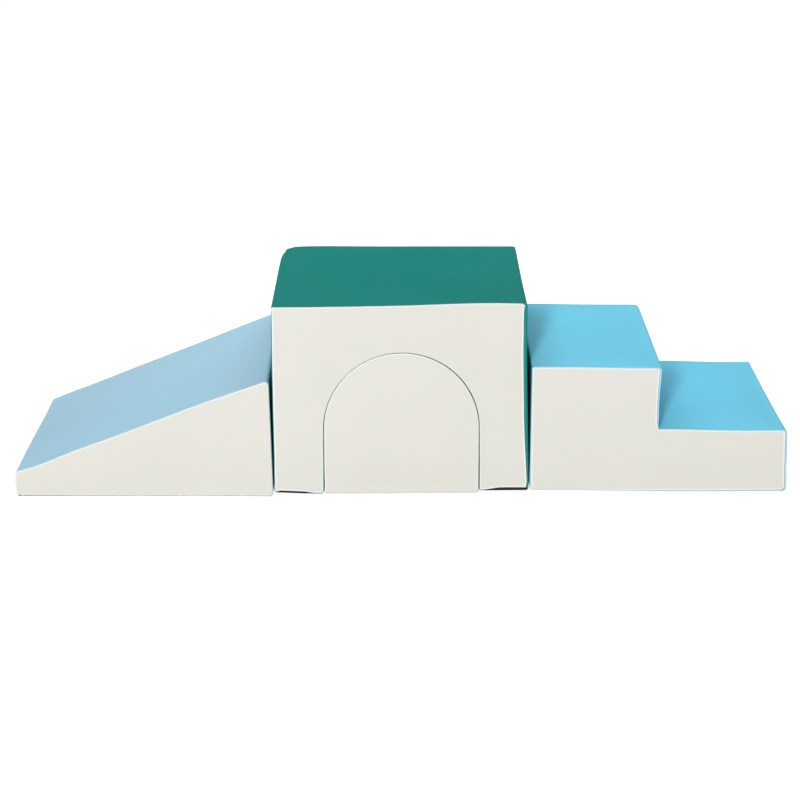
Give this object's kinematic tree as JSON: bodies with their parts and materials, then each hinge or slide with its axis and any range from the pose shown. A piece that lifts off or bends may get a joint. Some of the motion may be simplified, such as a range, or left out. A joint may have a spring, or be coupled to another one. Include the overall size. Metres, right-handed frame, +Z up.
{
  "type": "soft play foam climber",
  "caption": "Soft play foam climber: a wedge ramp, a raised block with a removable arch insert, and two steps, each a foam core in a sewn and zipped vinyl cover.",
  "frame": {"origin": "on the floor under the middle of the row, half way from front to back of the arch block", "axes": "+X along the row from the ramp to the steps, +Y from front to back, +Z up; -Y is the front"},
  "size_m": [1.8398, 0.6417, 0.4675],
  "materials": {
    "cream_vinyl": "satin",
    "green_vinyl": "satin",
    "pale_blue_vinyl": "satin",
    "sky_blue_vinyl": "satin",
    "non_slip_base": "matte",
    "foam": "matte",
    "loop_strip": "matte",
    "hook_strip": "matte",
    "zip_tape": "matte",
    "zip_metal": "satin"
  },
  "bodies": {
    "arch_block": {"arch_foam_core": "foam", "arch_front_panel": "cream_vinyl", "arch_back_panel": "cream_vinyl", "arch_outer_band": "green_vinyl", "arch_tunnel_lining": "green_vinyl", "arch_left_base_panel": "non_slip_base", "arch_right_base_panel": "non_slip_base", "arch_zip_tape": "zip_tape", "arch_left_loop_strip": "loop_strip", "arch_right_loop_strip": "loop_strip"},
    "arch_insert": {"insert_foam_core": "foam", "insert_front_panel": "cream_vinyl", "insert_back_panel": "cream_vinyl", "insert_curved_band": "green_vinyl", "insert_base_panel": "non_slip_base", "insert_zip_tape": "zip_tape"},
    "ramp": {"ramp_foam_core": "foam", "ramp_front_panel": "cream_vinyl", "ramp_back_panel": "cream_vinyl", "ramp_slope_band": "pale_blue_vinyl", "ramp_base_panel": "non_slip_base", "ramp_zip_tape": "zip_tape", "ramp_hook_strip": "hook_strip"},
    "stairs": {"stairs_lower_foam_slab": "foam", "stairs_upper_foam_slab": "foam", "stairs_front_panel": "cream_vinyl", "stairs_back_panel": "cream_vinyl", "stairs_step_band": "sky_blue_vinyl", "stairs_base_panel": "non_slip_base", "stairs_zip_tape": "zip_tape", "stairs_hook_strip": "hook_strip"},
    "arch_zip_slider_body": {"arch_zip_slider": "zip_metal"},
    "arch_zip_pull_body": {"arch_zip_pull": "zip_metal"},
    "insert_zip_slider_body": {"insert_zip_slider": "zip_metal"},
    "insert_zip_pull_body": {"insert_zip_pull": "zip_metal"},
    "ramp_zip_slider_body": {"ramp_zip_slider": "zip_metal"},
    "ramp_zip_pull_body": {"ramp_zip_pull": "zip_metal"},
    "stairs_zip_slider_body": {"stairs_zip_slider": "zip_metal"},
    "stairs_zip_pull_body": {"stairs_zip_pull": "zip_metal"}
  },
  "joints": [
    {"name": "ramp_pull_off", "type": "slide", "parent": "arch_block", "child": "ramp", "axis": [-1, 0, 0], "range_m": [0, 0.3]},
    {"name": "stairs_pull_off", "type": "slide", "parent": "arch_block", "child": "stairs", "axis": [1, 0, 0], "range_m": [0, 0.3]},
    {"name": "insert_slide_out", "type": "slide", "parent": "arch_block", "child": "arch_insert", "axis": [0, -1, 0], "range_m": [0, 0.66]},
    {"name": "arch_zip_slide", "type": "slide", "parent": "arch_block", "child": "arch_zip_slider_body", "axis": [1, 0, 0], "range_m": [0, 0.451]},
    {"name": "arch_zip_pull_swing", "type": "hinge", "parent": "arch_zip_slider_body", "child": "arch_zip_pull_body", "pos_m": [-0.2255, 0.31093, 0.4045], "axis": [1, 0, 0], "range_deg": [0, 170]},
    {"name": "insert_zip_slide", "type": "slide", "parent": "arch_insert", "child": "insert_zip_slider_body", "axis": [1, 0, 0], "range_m": [0, 0.231]},
    {"name": "insert_zip_pull_swing", "type": "hinge", "parent": "insert_zip_slider_body", "child": "insert_zip_pull_body", "pos_m": [-0.1155, 0.31093, 0.042], "axis": [1, 0, 0], "range_deg": [0, 170]},
    {"name": "ramp_zip_slide", "type": "slide", "parent": "ramp", "child": "ramp_zip_slider_body", "axis": [1, 0, 0], "range_m": [0, 0.451]},
    {"name": "ramp_zip_pull_swing", "type": "hinge", "parent": "ramp_zip_slider_body", "child": "ramp_zip_pull_body", "pos_m": [-0.8381, 0.29593, 0.042], "axis": [1, 0, 0], "range_deg": [0, 170]},
    {"name": "stairs_zip_slide", "type": "slide", "parent": "stairs", "child": "stairs_zip_slider_body", "axis": [1, 0, 0], "range_m": [0, 0.451]},
    {"name": "stairs_zip_pull_swing", "type": "hinge", "parent": "stairs_zip_slider_body", "child": "stairs_zip_pull_body", "pos_m": [0.38706, 0.31593, 0.042], "axis": [1, 0, 0], "range_deg": [0, 170]}
  ]
}
